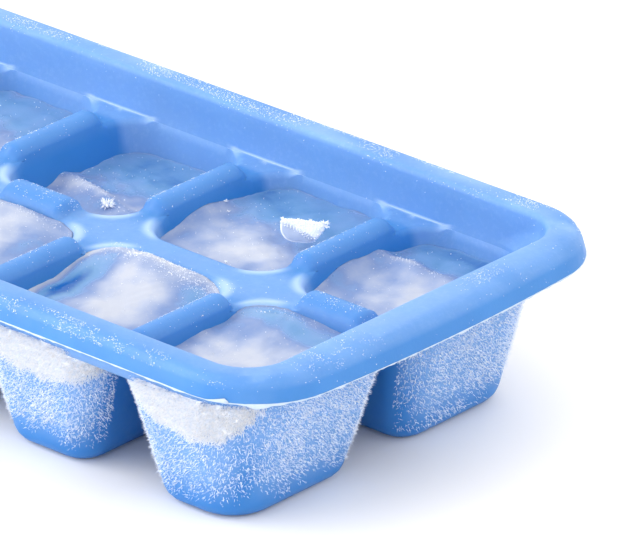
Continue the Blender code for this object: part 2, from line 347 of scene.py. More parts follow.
def wallStations(samples, border):
    # The stations whose land ends at the basin's wall
    land = samples["land"]
    last, first = isEnd(samples["column"])
    onWall = (np.abs(border[:, 1] - land[3]) < 1e-6) | onRoundCorner(samples)
    onWall |= last & (np.abs(border[:, 0] - land[1]) < 1e-6)
    onWall |= first & (np.abs(border[:, 0] - land[0]) < 1e-6)
    return onWall


def landBorder(samples, height, skin):
    # A cell's edge at a height, its reach to the land's border, and that border
    edge = cellPoints(samples, height, skin)
    reach = landReach(samples, edge)
    border = edge.copy()
    border[:, :2] += samples["normal"] * reach[:, None]
    return edge, reach, border


def barRise(place, low, high):
    # A bar's height along its length: the root of an S curve up over the run at each end
    run = trayShape["barRun"]
    return trayShape["barHeight"] * (smooth((place - low) / run) ** 0.5 * smooth((high - place) / run) ** 0.5)


def barLifts(samples, border):
    # How far the bars lift the land's border, station by station. The spine has one in each second column.
    land = samples["land"]
    last, first = isEnd(samples["column"])
    onRight = (np.abs(border[:, 0] - land[1]) < 1e-6) & (not last)
    onLeft = (np.abs(border[:, 0] - land[0]) < 1e-6) & (not first)
    bars = barRise(border[:, 1], trayShape["barNear"], trayShape["barFar"])
    borderLift = np.where(onRight | onLeft, bars, 0.0)
    if samples["column"] % 2 == 0:
        middle, half = columnMiddle(samples["column"]), trayShape["spineBarHalf"]
        onSpine = np.abs(border[:, 1]) < 1e-6
        borderLift = np.where(onSpine, barRise(border[:, 0], middle - half, middle + half), borderLift)
    return borderLift


def roundRing(samples, fillet, top, skin, turn):
    # A ring on the rounded edge between land and cavity, at a number of degrees from the land
    angle = math.radians(turn)
    ring = cellPoints(samples, top - fillet * (1.0 - math.cos(angle)), skin)
    ring[:, :2] += samples["normal"] * (fillet * (1.0 - math.sin(angle)))[:, None]
    return ring


def wallRings(samples, start, bottom, fillet, inset, shares, turns):
    # Rings down a cell's wall from the starting heights, and over its rounded bottom
    rings = [cellPoints(samples, start + (bottom + fillet - start) * w, inset) for w in shares]
    for turn in turns:
        angle = math.radians(turn)
        height = bottom + fillet * (1.0 - math.sin(angle))
        rings.append(cellPoints(samples, height, inset + fillet * (1.0 - math.cos(angle))))
    return rings


def edgeHighlights(samples, onWall, reach):
    # Where the plastic's edges get a painted highlight, each from 0 to 1: round the near corners' diagonals,
    # along the ledge under the basin's wall, and at the ledge's ends. It stands in for light that shines on
    # and through the thin edges.
    last, first = isEnd(samples["column"])
    onArc = samples["first"] == samples["second"]
    nearFan = onArc & ((samples["first"] == 0) & (not last) | (samples["first"] == 3) & (not first))
    diagonal = 2.0 * np.abs(samples["normal"][:, 0] * samples["normal"][:, 1])
    fan = np.where(nearFan, smooth(diagonal * 1.1) ** 1.5, 0.0)
    sideways = np.abs(samples["normal"][:, 0])
    ledge = np.where(onWall & (sideways < 0.995), smooth((reach - 0.25) / 0.9), 0.0)
    ends = 0.75 * smooth((reach - 0.15) / 0.25) * smooth((1.9 - reach) / 1.2)
    return fan, ledge, np.where(onWall & (sideways < 0.8), ends, 0.0)


def innerShell(column):
    # A cell seen from above: rings from the land's border over bar or web, round the opening's edge,
    # down the cavity wall and over its rounded bottom. A bar's section is half an ellipse.
    top = trayShape["webTop"]
    samples = cellSamples(column, top, 0.0)
    edge, reach, border = landBorder(samples, top, 0.0)
    borderLift = barLifts(samples, border)
    squarely = smooth((np.max(np.abs(samples["normal"]), axis=1) - 0.86) / 0.14)
    rod = squarely * (borderLift / trayShape["barHeight"])
    onWall = wallStations(samples, border)
    ledgeRise = trayShape["ledgeLift"] + trayShape["ledgeCurl"] * (1.0 - smooth(reach / 1.2))
    borderLift = borderLift + np.where(onWall, ledgeRise, 0.0)
    fillet = np.minimum(trayShape["edgeFillet"], 0.9 * reach) * smooth((reach - 0.1) / 0.8) * (1.0 - rod)
    fan, ledge, ledgeEnd = edgeHighlights(samples, onWall, reach)
    lip = edge.copy()
    lip[:, :2] += samples["normal"] * fillet[:, None]
    border[:, 2] = top + borderLift
    onLand = smooth((reach - 0.15) / 1.5)
    rings, paintedHighlight = [], []
    for w in trayRings["land"]:
        ring = lip + (border - lip) * w
        bulge = (1.0 - onLand) * w + onLand * smooth(w) ** 0.75
        bulge = bulge + (math.sqrt(1.0 - (1.0 - w) ** 2) - bulge) * rod
        ring[:, 2] = top + borderLift * bulge
        rings.append(ring)
        # Painted highlight on the land: along the ledge, at its ends, and in a fan round the near corners
        edgeHighlight = np.maximum(ledge * smooth((w - 0.72) / 0.2), ledgeEnd)
        paintedHighlight.append(np.maximum(edgeHighlight, fan * smooth(1.0 - w * reach / 2.6)))
    for turn in trayRings["edge"]:
        rings.append(roundRing(samples, fillet, top, 0.0, turn))
        paintedHighlight.append(np.maximum(fan * (1.0 - 0.5 * turn / 90.0), ledgeEnd * math.cos(math.radians(turn))))
    floor = trayShape["wall"]
    below = wallRings(samples, rings[-1][:, 2], floor, trayShape["footFillet"] - floor, 0.0,
                      trayRings["wall"], trayRings["foot"])
    paintedHighlight.append(fan * 0.4)
    paintedHighlight += [np.zeros(len(fan))] * (len(below) - 1)
    return np.stack(rings + below), onWall, np.stack(paintedHighlight)


def outerShell(column):
    # A cell seen from below: rings from the land's border in under the web, down the outer wall
    # and over the rounded foot
    top = trayShape["webTop"] - trayShape["wall"]
    skin = -trayShape["wall"]
    samples = cellSamples(column, top, skin)
    reach, border = landBorder(samples, top, skin)[1:]
    fillet = np.minimum(trayShape["underFillet"], 0.8 * reach)
    rings = [roundRing(samples, fillet, top, skin, turn) for turn in trayRings["underEdge"]]
    rings = [border, 0.5 * (border + rings[0])] + rings
    rings += wallRings(samples, rings[-1][:, 2], 0.0, trayShape["footFillet"], skin,
                       trayRings["outerWall"], trayRings["outerFoot"])
    grid = np.stack(rings)
    return grid, wallStations(samples, border), np.zeros(grid.shape[:2])


def joinedStart(places):
    # A closed run's places in a row, starting after its gap
    gap = np.flatnonzero(np.diff(places) > 1)
    return np.roll(places, -(gap[0] + 1)) if len(gap) else places


def wholePerimeter(shells):
    # The wall stations of all the back cells in one line, from the right end's middle round to the
    # left's, and carried on along the front, which is the back in a mirror
    line = []
    for grid, onWall, paintedHighlight in reversed(shells):
        points = grid[0][joinedStart(np.flatnonzero(onWall))]
        line.append(points if not line else points[1:])
    back = np.concatenate(line)
    return np.concatenate([back, back[::-1][1:-1] * np.array([1.0, -1.0, 1.0])])


def rounded(section):
    # A section's corners rounded: each is replaced by seven points of a quadratic curve that leaves
    # and meets the straight parts at the corner's own distance
    line = []
    for k, (corner, distance) in enumerate(section):
        if distance == 0.0:
            line.append(corner)
            continue
        before, after = section[k - 1][0], section[k + 1][0]
        ends = []
        for other in (before, after):
            way = other - corner
            ends.append(corner + way * min(0.5, distance / np.hypot(way[0], way[2])))
        for t in np.linspace(0.0, 1.0, 7):
            line.append((1 - t) ** 2 * ends[0] + 2 * t * (1 - t) * corner + t * t * ends[1])
    return line


# The rim's section: distance in from the skirt's foot across the long sides, across the ends,
# the height, the corner's radius, and last how far from the corner its rounding starts
rimSection = [((8.0, 8.6, 35.6, 9.2), 0.0), ((7.75, 8.35, 38.8, 9.2), 1.4), ((1.25, 1.25, 38.8, 16.7), 2.3),
              ((0.0, 0.0, 34.0, 18.0), 0.35), ((1.4, 1.4, 34.0, 16.6), 0.35), ((2.2, 2.2, 36.4, 15.8), 0.8),
              ((6.4, 7.0, 36.4, 10.5), 0.9), ((6.95, 8.1, 30.0, 17.0), 0.0)]


def rimGrid(inner, outer):
    # Rim and basin wall: the section carried round the basin's line. A station keeps its place on the
    # straight parts, scaled to each ring, and its direction round the corners.
    ledge = trayShape["ledge"]
    wide, deep = trayShape["cavityEnd"] + ledge, trayShape["cavityFar"] + ledge
    radius = trayShape["cornerRadius"] + ledge
    core = np.stack([np.clip(inner[:, 0], radius - wide, wide - radius),
                     np.clip(inner[:, 1], radius - deep, deep - radius)], -1)
    normal = inner[:, :2] - core
    normal /= np.linalg.norm(normal, axis=1, keepdims=True)
    rings = []
    section = [(np.array(row), distance) for row, distance in rimSection]
    for acrossY, acrossX, height, corner in rounded(section):
        halfX = trayShape["rimHalfX"] - acrossX
        halfY = trayShape["rimHalfY"] - acrossY
        scale = np.array([(halfX - corner) / (wide - radius), (halfY - corner) / (deep - radius)])
        ring = core * scale + normal * corner
        bow = trayShape["bow"] * max(0.0, 1.0 - acrossX / trayShape["bowFade"])
        reach = np.clip(1.0 - (ring[:, 1] / halfY) ** 2, 0.0, None)
        ring[:, 0] += np.sign(normal[:, 0]) * bow * reach * (np.abs(normal[:, 0]) > 1e-6)
        rings.append(np.column_stack([ring, np.full(len(ring), height)]))
    # The basin's wall swells outwards a little between its foot and the rim
    outwards = np.column_stack([normal, np.zeros(len(normal))])
    swell = trayShape["basinBulge"]
    wall = [inner + (rings[0] - inner) * w + swell * w * (1.0 - w) * outwards for w in trayRings["basin"]]
    under = [rings[-1] + (outer - rings[-1]) * w for w in (0.5, 1.0)]
    return np.stack([inner] + wall + rings + under)


def makePlastic():
    # Two blues in soft patches, then frost and painted light by their mark and a fine grain, then the painted
    # highlight on the edges by its mark
    look = plasticFinish
    material, tree, place, shader = newMaterial("frosted blue plastic")
    patchy = rangeNode(tree, noiseNode(tree, place, 55.0, 3.0), 0.35, 0.72)
    grainy = rangeNode(tree, noiseNode(tree, place, 900.0, 3.0, 0.7), 0.50, 0.78)
    colour = mixColour(tree, patchy, look["blue"], look["deepBlue"])
    frostAndLightShare = mathNode(tree, "ADD", look["frostAndLightBase"], mathNode(tree, "MULTIPLY", look["frostAndLightGrain"], grainy))
    frostAndPaintedLight = mathNode(tree, "MULTIPLY", markNode(tree, "frostAndPaintedLight"), frostAndLightShare)
    colour = mixColour(tree, frostAndPaintedLight, colour, look["frostAndPaintedLight"])
    colour = mixColour(tree, markNode(tree, "paintedHighlight"), colour, look["paintedHighlight"])
    tree.links.new(colour, shader.inputs["Base Color"])
    rough = rangeNode(tree, noiseNode(tree, place, 300.0, 5.0, 0.7), 0.3, 0.7, *look["roughness"])
    tree.links.new(rough, shader.inputs["Roughness"])
    shader.inputs["Specular IOR Level"].default_value = look["specular"]
    shader.inputs["Subsurface Weight"].default_value = look["subsurface"]
    shader.inputs["Subsurface Radius"].default_value = (0.25, 0.5, 1.0)
    shader.inputs["Subsurface Scale"].default_value = 0.0025
    addBump(tree, shader, noiseNode(tree, place, 1400.0, 4.0, 0.6), look["bump"])
    return material


def trayFrostAndLight(points):
    # Thin frost, rubbed patches and painted light, as a share from 0 to 1: the greatest of streaks on the
    # rim's back, a rubbed patch on its near end, a painted sheen on rim, bars and web that lightens their lit
    # upper faces and is weaker on the skirt, painted light on the basin's and cells' walls, and frost on the
    # front and end walls
    share = frostAndLightShares
    x, y, z = points[..., 0], points[..., 1], points[..., 2]
    sideways, lengthways = np.abs(y), np.abs(x)
    streaks = ripple(points * np.array([0.35, 1.0, 1.0]), 9.0, 5)
    onRim = smooth((z - 37.6) / 1.0)
    back = onRim * smooth((y - 44.0) / 3.0) * (0.45 + 0.3 * streaks)
    end = onRim * smooth((x - 138.0) / 4.0) * smooth((16.0 - np.abs(y + 3.5)) / 1.2) * share["rubbed"]
    end *= smooth((150.6 - x) / 0.8)
    slope = smooth((z - 36.4) / 1.6) * (0.5 + 0.5 * smooth((streaks + 0.3) / 1.2))
    web = smooth((9.0 - sideways) / 4.0) * smooth((z - 28.0) / 0.8) * smooth((30.6 - z) / 1.0)
    # Painted sheen: the faces above the web's foot, the rim's top, the bars' tops and the spine's web
    # lighter, as where light falls on them, and less of it on the skirt
    paintedSheen = share["paintedSheen"] * smooth((z - 27.0) / 1.5) + share["slope"] * slope
    paintedSheen = paintedSheen + share["bars"] * smooth((z - 29.6) / 0.6) + share["web"] * web
    skirt = smooth(np.maximum(sideways - 52.5, lengthways - 148.0) / 1.5) * smooth((37.4 - z) / 1.0)
    paintedSheen = paintedSheen * (1.0 - share["skirt"] * skirt)
    above = smooth((z - 3.0) / 7.0)
    # Painted light on the cells' far and end walls and on the basin's wall; after it, frost on the front and
    # end walls
    walls = smooth(np.maximum((sideways - 40.5) / 2.5, (lengthways - 134.5) / 3.0)) * above
    walls = walls * (share["walls"] + 0.06 * ripple(points, 30.0, 9)) * smooth((49.6 - sideways) / 0.6)
    walls = walls * smooth((147.5 - lengthways) / 1.5)
    frosted = smooth(np.maximum(-y - 42.0, lengthways - 137.0) / 2.0) * smooth((28.5 - z) / 1.0) * above
    walls = np.maximum(walls, share["frosted"] * frosted)
    return np.clip(np.maximum(np.maximum(back, end), np.maximum(paintedSheen, walls)), 0.0, 1.0)


def makeTray(shells, rim):
    # All the cells, each seen from above and from below and mirrored to the front, and the rim, as one skin
    points, quads, fans, paintedHighlight = [], [], [], []
    count = 0
    for mirror in (1.0, -1.0):
        for side, down in zip(shells, (False, True)):
            for grid, onWall, highlights in side:
                rows, columns = grid.shape[:2]
                middle = grid[-1].mean(0)
                flip = down != (mirror < 0)
                whole = np.concatenate([grid.reshape(-1, 3), middle[None]])
                points.append(whole * np.array([1.0, mirror, 1.0]))
                paintedHighlight.append(np.append(highlights.ravel(), 0.0))
                quads.append(gridFaces(rows, columns, True, flip) + count)
                ring = np.arange((rows - 1) * columns, rows * columns)
                fans.append(fanFaces(ring, rows * columns, flip) + count)
                count += rows * columns + 1
    quads.append(gridFaces(rim.shape[0], rim.shape[1], True, True) + count)
    points.append(rim.reshape(-1, 3))
    paintedHighlight.append(np.zeros(len(points[-1])))
    # The painted highlight on the edges, scaled by its strength
    marks = dict(paintedHighlight=plasticFinish["highlightStrength"] * np.concatenate(paintedHighlight))
    faceSets = [np.concatenate(quads), np.concatenate(fans)]
    points, faceSets, marks = weld(np.concatenate(points), faceSets, marks)
    # The mark of frost, rubbed patches and painted light on the plastic
    marks["frostAndPaintedLight"] = trayFrostAndLight(points)
    piece = putMesh("tray_moulding", points, faceSets, makePlastic(), marks)
    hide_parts("tray")
    print("tray:", len(points), "points")


print("tray: cells and rim")
innerShells = [innerShell(column) for column in range(trayShape["columns"])]
outerShells = [outerShell(column) for column in range(trayShape["columns"])]
rim = rimGrid(wholePerimeter(innerShells), wholePerimeter(outerShells))
makeTray((innerShells, outerShells), rim)

# Ice. The finish runs from deep blue over clear and grey to white as a cell's cloud value rises from
# -0.4 over 0 and the level to 1. The shape holds for all cells: half sizes in plan for the crown, how
# far the ice goes into the plastic, and the height and slope of the brim it never passes at the walls.
iceFinish = dict(ior=1.31, specular=0.12, deep=(0.014, 0.19, 0.70), clear=(0.25, 0.54, 0.97),
                 grey=(0.20, 0.29, 0.53), white=(0.49, 0.52, 0.60), level=0.46,
                 transmission=(0.55, 0.12, 0.03), roughness=(0.16, 0.5), bump=0.15)
iceShape = dict(halfX=17.0, halfEndX=17.4, endShift=0.35, middleY=25.4, halfY=21.0, sunk=0.1, brim=28.9,
                slope=0.8, wall=(0.04, 0.12, 0.3, 0.55, 0.8, 1.0), bottom=(30.0, 60.0, 90.0))
# For each cell the level at the walls, how far the crown stands above it, and hills on top as
# (x, y, height, half width, half depth, turn). Clouds are (x, y, strength, half width, half depth), and
# a negative one is clearer and deeper. A ring is how cloudy the edge is.
iceCells = {
    "front_7": dict(level=27.0, crown=1.0, hills=[(115, -9, 1.9, 13, 8, 0), (124, -30, -0.8, 9, 8, 0)],
                    clouds=[(122, -26, 1.0, 13, 8), (109.5, -19, -0.16, 2.5, 3), (113, -13, 0.6, 3, 2),
                            (119, -15, 0.62, 2.5, 4), (126, -11, -0.34, 7, 4), (113, -8, -0.38, 8, 4),
                            (131, -17, 0.7, 5, 3)]),
    "front_6": dict(level=26.4, crown=1.4, ring=0.9, hills=[(79, -9, 4.2, 17, 10, 0)],
                    clouds=[(86, -24, 1.05, 8, 13), (80, -7, 0.95, 14, 2.2), (71.5, -25, -1.0, 3.6, 9.5),
                            (94, -10, -0.3, 4, 5), (79, -15, 0.85, 3, 5)]),
    "front_5": dict(level=27.4, crown=1.6, hills=[(40, -9, 2.4, 14, 8, 0)],
                    clouds=[(38, -24, 1.0, 15, 22), (53, -16, -0.25, 3, 8)]),
    "back_7": dict(level=24.8, crown=0.9, hills=[(104, 22.5, 3.6, 5, 10, 0), (114, 31.5, 1.7, 12, 3.2, 0)],
                   clouds=[(125, 22, 1.0, 10, 9), (109, 10, 0.8, 5, 4), (113, 32.5, 0.85, 9, 1.4),
                           (120, 43, -0.6, 20, 8)]),
    "back_6": dict(level=25.1, crown=0.7, hills=[(62, 24, 3.8, 5, 10, 0), (96, 14, 0.8, 6, 6, 0)],
                   clouds=[(83, 16, 1.0, 12, 8), (68, 27, 0.62, 3, 5), (74, 40, -0.5, 20, 9),
                           (94, 30, -0.35, 7, 9)]),
    "back_5": dict(level=21.6, crown=0.6, hills=[(36, 21, 2.4, 13, 2.8, -14), (52, 13, 1.2, 5, 6, 0)],
                   clouds=[(50, 11, 0.72, 8, 5), (36, 21, 0.8, 13, 1.6), (40, 40, -0.55, 22, 11)]),
    "back_4": dict(level=24.0, crown=0.8, hills=[(0, 24, 1.0, 9, 9, 0)],
                   clouds=[(2, 14, 0.8, 12, 7), (0, 40, -0.4, 20, 9)]),
}


def cellName(column, row):
    # The front row is -1, the back row 1, and columns count from 1 at the far end
    return f"{'front' if row < 0 else 'back'}_{column + 1}"


def iceTop(cell, points, wallDistance):
    # The ice's upper side: its level, a crown that falls off towards the walls, the listed hills,
    # ripples, and a thin edge that climbs the plastic. It never stands over the web at the walls.
    look = cell["look"]
    a = (points[..., 0] - cell["middle"]) / cell["halfX"]
    b = (np.abs(points[..., 1]) - iceShape["middleY"]) / iceShape["halfY"]
    crown = np.clip(1.0 - a ** 2, 0, 1) ** 0.7 * np.clip(1.0 - np.abs(b) ** 2.4, 0, 1) ** 0.7
    height = look["level"] + look["crown"] * crown
    for x, y, rise, wide, deep, turn in look["hills"]:
        height = height + rise * hill(points, x, y, wide, deep, turn)
    flat = points * np.array([1.0, 1.0, 0.0])
    height = height + 0.22 * ripple(flat, 9.0, cell["seed"]) + 0.07 * ripple(flat, 2.6, cell["seed"] + 1)
    height = height + 0.4 * np.exp(-wallDistance / 0.5)
    return np.minimum(height, iceShape["brim"] + iceShape["slope"] * wallDistance)


def makeIceMaterial():
    # The cloud mark plus wisps and fine rime picks the colour, how clear it is and how rough
    look = iceFinish
    material, tree, place, shader = newMaterial("cloudy ice", ior=look["ior"])
    wisps = rangeNode(tree, noiseNode(tree, place, 110.0, 6.0, 0.62), 0.3, 0.7, -0.16, 0.16)
    fine = rangeNode(tree, noiseNode(tree, place, 1900.0, 2.0, 0.6), 0.62, 0.75)
    cloud = mathNode(tree, "ADD", markNode(tree, "cloud"), wisps)
    cloud = mathNode(tree, "ADD", cloud, mathNode(tree, "MULTIPLY", fine, markNode(tree, "rime")))
    deepest = rangeNode(tree, cloud, -0.4, 0.0)
    lower = rangeNode(tree, cloud, 0.0, look["level"])
    upper = rangeNode(tree, cloud, look["level"], 1.0)
    colour = mixColour(tree, deepest, look["deep"], look["clear"])
    colour = mixColour(tree, lower, colour, look["grey"])
    colour = mixColour(tree, upper, colour, look["white"])
    tree.links.new(colour, shader.inputs["Base Color"])
    clear, grey, white = look["transmission"]
    through = mathNode(tree, "ADD", rangeNode(tree, lower, 0.0, 1.0, clear - grey, 0.0),
                       rangeNode(tree, upper, 0.0, 0.7, grey, white))
    tree.links.new(through, shader.inputs["Transmission Weight"])
    tree.links.new(rangeNode(tree, cloud, 0.0, 1.0, *look["roughness"]), shader.inputs["Roughness"])
    shader.inputs["Specular IOR Level"].default_value = look["specular"]
    addBump(tree, shader, noiseNode(tree, place, 700.0, 5.0, 0.65), look["bump"])
    return material


def plainLook(column, row, source):
    # A cell's look where none is listed: one low hump and one cloud, both near the middle
    middle = columnMiddle(column)
    centre = (middle + source.uniform(-3, 3), row * source.uniform(20, 28))
    hump = (middle + source.uniform(-6, 6), row * source.uniform(14, 34), source.uniform(-0.8, 1.4), 8, 7, 0)
    return dict(level=25.2 if row > 0 else 26.6, crown=source.uniform(1.2, 2.4), hills=[hump],
                clouds=[(*centre, source.uniform(0.8, 1.0), 12, 13)])


def iceMarks(points, fromWall, onTop, look, seed):
    # Cloudiness: the level, the listed clouds, and a ring that fades from the walls. Rime lies in patches.
    level = iceFinish["level"]
    cloud = np.full(len(points), level)
    for x, y, strength, wide, deep in look["clouds"]:
        gain = max(strength - level, 0.0) if strength > 0 else strength
        cloud = cloud + gain * hill(points, x, y, wide, deep)
    ring = look.get("ring", 0.5)
    cloud = cloud + np.maximum(ring - cloud, 0.0) * np.exp(-(fromWall / (4.0 * ring - 1.7)) ** 2)
    cloud = np.where(onTop > 0, cloud + 0.07 * ripple(points, 6.0, seed + 3), 0.1)
    rime = 0.10 + 0.30 * smooth((ripple(points, 8.0, seed + 4) - 0.2) / 0.8)
    return dict(cloud=np.clip(cloud, -0.6, 1.0), rime=rime * onTop)


def makeIce(column, row, material):
    # A cube as one closed skin: a middle point on top, rings out to the wall, down the wall,
    # over the rounded bottom and to a middle point below
    name = cellName(column, row)
    seed = 100 + 10 * column + (row > 0)
    look = iceCells.get(name) or plainLook(column, row, np.random.default_rng(seed))
    last, first = isEnd(column)
    shift = iceShape["endShift"] * (int(last) - int(first))
    cell = dict(look=look, middle=columnMiddle(column) + shift, seed=seed,
                halfX=iceShape["halfEndX" if last or first else "halfX"])
    gap = -iceShape["sunk"]
    mirror = np.array([1.0, float(row), 1.0])
    samples = cellSamples(column, trayShape["webTop"], 0.0)
    contact = cellPoints(samples, look["level"], gap)
    contact[:, 2] = iceTop(cell, contact * mirror, np.zeros(len(contact)))
    contact = cellPoints(samples, contact[:, 2], gap)
    centre = contact.mean(0)
    rings = []
    for w in np.concatenate([[0.0, 0.015, 0.035, 0.06], np.linspace(0.1, 0.97, 26)]):
        ring = contact + (centre - contact) * w
        distance = np.linalg.norm(ring[:, :2] - contact[:, :2], axis=1)
        ring[:, 2] = iceTop(cell, ring * mirror, distance)
        rings.append(ring)
    rings.reverse()
    topRings = len(rings)
    floor = trayShape["wall"]
    rings += wallRings(samples, contact[:, 2], floor + gap, trayShape["footFillet"] - floor, gap,
                       iceShape["wall"], iceShape["bottom"])
    grid = np.stack(rings) * mirror
    points, faceSets = closedSkin(grid, grid[0].mean(0), grid[-1].mean(0), row > 0)
    covered = topRings * grid.shape[1]
    onTop = np.zeros(len(points))
    onTop[:covered] = 1.0
    onTop[-2] = 1.0
    fromWall = np.full(len(points), 99.0)
    inwards = grid[:topRings, :, :2] - grid[topRings - 1, :, :2]
    fromWall[:covered] = np.linalg.norm(inwards, axis=2).ravel()
    marks = iceMarks(points, fromWall, onTop, look, seed)
    piece = putMesh("ice_cube_" + name, points, faceSets, material, marks)
    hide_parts("ice_" + name)
    return grid[:topRings]


print("ice: fourteen cubes")
iceMaterial = makeIceMaterial()
iceTops = {}
for row in (-1, 1):
    for column in range(trayShape["columns"]):
        iceTops[(column, row)] = makeIce(column, row, iceMaterial)

# Hoarfrost: lengths and half widths in millimetres, densities to the square millimetre, and the most
# needles or spikes that one cell gets. Shown is how much of it the cells that the photograph shows get.
frostFinish = dict(white=(0.97, 0.975, 1.0), shade=(0.84, 0.90, 1.0), roughness=0.6)
needleShape = dict(length=(0.32, 0.85), width=0.046, lay=0.6, sink=0.06, density=12.0, most=6500)
spikeShape = dict(length=(0.6, 1.25), width=0.075, lay=0.4, density=60.0, most=22000)
crustShape = dict(low=3.0, high=28.6, rows=46, inside=0.8, hidden=-0.45, thick=0.55, rough=0.12)
shownFrost = dict(front_7=1.0, front_6=0.9, back_7=0.9, front_5=0.35)
shownElsewhere = 0.1


def makeFrostMaterial():
    # White with a fine shade of blue in it
    material, tree, place, shader = newMaterial("hoarfrost", frostFinish["roughness"], 1.31)
    mottle = rangeNode(tree, noiseNode(tree, place, 1500.0, 2.0), 0.40, 0.64)
    colour = mixColour(tree, mottle, frostFinish["white"], frostFinish["shade"])
    tree.links.new(colour, shader.inputs["Base Color"])
    return material


def unitRows(vectors):
    # Each row divided by its own length
    return vectors / np.maximum(np.linalg.norm(vectors, axis=1, keepdims=True), 1e-9)


def scatter(grid, density, source, most):
    # Random places on a grid of points. Each quad is drawn as often as its area times the density
    # there, and a place lies anywhere in its quad.
    a, b, c, d = grid[:-1, :-1], grid[:-1, 1:], grid[1:, 1:], grid[1:, :-1]
    normal = np.cross(c - a, d - b)
    area = 0.5 * np.linalg.norm(normal, axis=-1)
    weight = (area * np.clip(density(0.25 * (a + b + c + d)), 0.0, None)).ravel()
    total = weight.sum()
    number = int(min(most, total))
    if number < 1:
        return np.zeros((0, 3)), np.zeros((0, 3))
    pick = np.searchsorted(np.cumsum(weight) / total, source.random(number))
    pick = np.minimum(pick, len(weight) - 1)
    u, v = source.random((2, number, 1))
    a, b, c, d = (part.reshape(-1, 3)[pick] for part in (a, b, c, d))
    place = (1 - u) * (1 - v) * a + u * (1 - v) * b + u * v * c + (1 - u) * v * d
    return place, unitRows(normal.reshape(-1, 3)[pick])


def crossRing(base, side, other, width):
    # Three places round a base, the same angle apart
    angles = [2.0 * math.pi * k / 3 for k in range(3)]
    return [base + (math.cos(angle) * side + math.sin(angle) * other) * width[:, None] for angle in angles]


def repeated(pattern, count, size):
    # The same triangles for each of many small solids of so many points
    return (np.arange(count)[:, None, None] * size + np.array(pattern)[None]).reshape(-1, 3)


def needles(place, outward, length, width, lay, source):
    # Closed three sided needles with one bend. The lay is how far a needle leans from the surface's
    # own direction, and the middle ring is pushed sideways so that it curves.
    count = len(place)
    direction = outward + lay * source.normal(size=(count, 3))
    direction += outward * np.clip(0.25 - np.sum(direction * outward, 1), 0, None)[:, None]
    direction = unitRows(direction)
    side = unitRows(np.cross(direction, source.normal(size=(count, 3))))
    other = np.cross(direction, side)
    base = place - outward * needleShape["sink"]
    bend = base + direction * (0.55 * length)[:, None] + side * (0.22 * length)[:, None]
    rings = crossRing(base, side, other, width) + crossRing(bend, side, other, 0.85 * width)
    rings.append(base + direction * length[:, None])
    pattern = [(0, 2, 1), (0, 1, 4), (0, 4, 3), (1, 2, 5), (1, 5, 4), (2, 0, 3), (2, 3, 5),
               (3, 4, 6), (4, 5, 6), (5, 3, 6)]
    return np.stack(rings, 1).reshape(-1, 3), repeated(pattern, count, 7)


def spikes(place, outward, length, width, lay, source):
    # Closed three sided spikes of four triangles each, for frost too thick to show single needles
    count = len(place)
    direction = unitRows(outward + lay * source.normal(size=(count, 3)))
    side = unitRows(np.cross(direction, source.normal(size=(count, 3))))
    base = place - outward * needleShape["sink"]
    rings = crossRing(base, side, np.cross(direction, side), width)
    rings.append(base + direction * length[:, None])
    return np.stack(rings, 1).reshape(-1, 3), repeated([(0, 2, 1), (0, 1, 3), (1, 2, 3), (2, 0, 3)], count, 4)


def specks(place, outward, size, source):
    # Closed grains: small four sided solids, each stretched and then turned at random
    count = len(place)
    corners = np.array([(1, 1, 1), (1, -1, -1), (-1, 1, -1), (-1, -1, 1)]) * 0.62
    shape = corners[None] * source.uniform(0.45, 1.5, (count, 1, 3))
    turn = np.linalg.qr(source.normal(size=(count, 3, 3)))[0]
    turn[:, :, 0] *= np.sign(np.linalg.det(turn))[:, None]
    points = np.einsum("nij,nkj->nki", turn, shape) * size[:, None, None]
    points += (place + outward * 0.3 * size[:, None])[:, None]
    return points.reshape(-1, 3), repeated([(0, 1, 2), (0, 3, 1), (0, 2, 3), (1, 3, 2)], count, 4)


def joinParts(parts):
    # One set of points and triangles out of several
    points, faces, count = [], [], 0
    for partPoints, partFaces in parts:
        points.append(partPoints)
        faces.append(partFaces + count)
        count += len(partPoints)
    return np.concatenate(points), np.concatenate(faces)


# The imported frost's lower edge, at the near corner's cell and elsewhere: distances from the column's
# middle, and the heights there. The low patch is the near end's back cell's, as a hill in plan.
frostEdge = dict(
    corner=((-15.6, -12.4, -6.1, 1.9, 8.7, 12.7, 18.0), (25.8, 22.4, 18.4, 17.7, 18.1, 21.2, 28.4)),
    lowPatch=(138.0, 17.0, 60.0, 9.0),
    plain=((-17.0, -10.4, -4.7, 3.6, 11.9, 17.4, 19.6), (25.0, 20.3, 19.1, 18.8, 19.9, 23.9, 26.8)))


def wallFrost(points, column, row):
    # How thick the hoarfrost stands on an outer wall, from 0 to 1, and how much of it is packed white.
    # The front is packed under the skirt and thins out downwards; the ends carry an even, finer coat.
    # The near end's back cell is bare towards the front, but for a patch low down.
    x, y, z = points[..., 0], points[..., 1], points[..., 2]
    last, first = isEnd(column)
    patch = ripple(points, 12.0, 40 + column) * 0.5 + ripple(points, 4.0, 50 + column) * 0.25
    onEnd = (last or first) * smooth((np.abs(x) - 137.5) / 3.0)
    places, tips = frostEdge["corner" if last and row < 0 else "plain"]
    tip = np.interp(x - columnMiddle(column), places, tips)
    packed = smooth((z - tip + 0.9 * patch) / 2.2) * (1.0 - onEnd)
    if row > 0:
        packed = packed * smooth((patch + 0.5) / 1.2)
    spread = smooth((z - 2.8 + 2.6 * patch) / 8.5) * np.clip(0.62 + 0.3 * patch + 0.1 * onEnd, 0.05, 1.0)
    if last and row > 0:
        spread = spread * (0.12 + 0.88 * smooth((y - 4.0 + 0.5 * z - 3.0 * patch) / 14.0))
        low = hill(points, *frostEdge["lowPatch"]) * smooth((8.0 - z) / 4.0)
        spread = np.maximum(spread, 0.7 * low)
    return np.clip(spread, 0.0, 1.0), packed


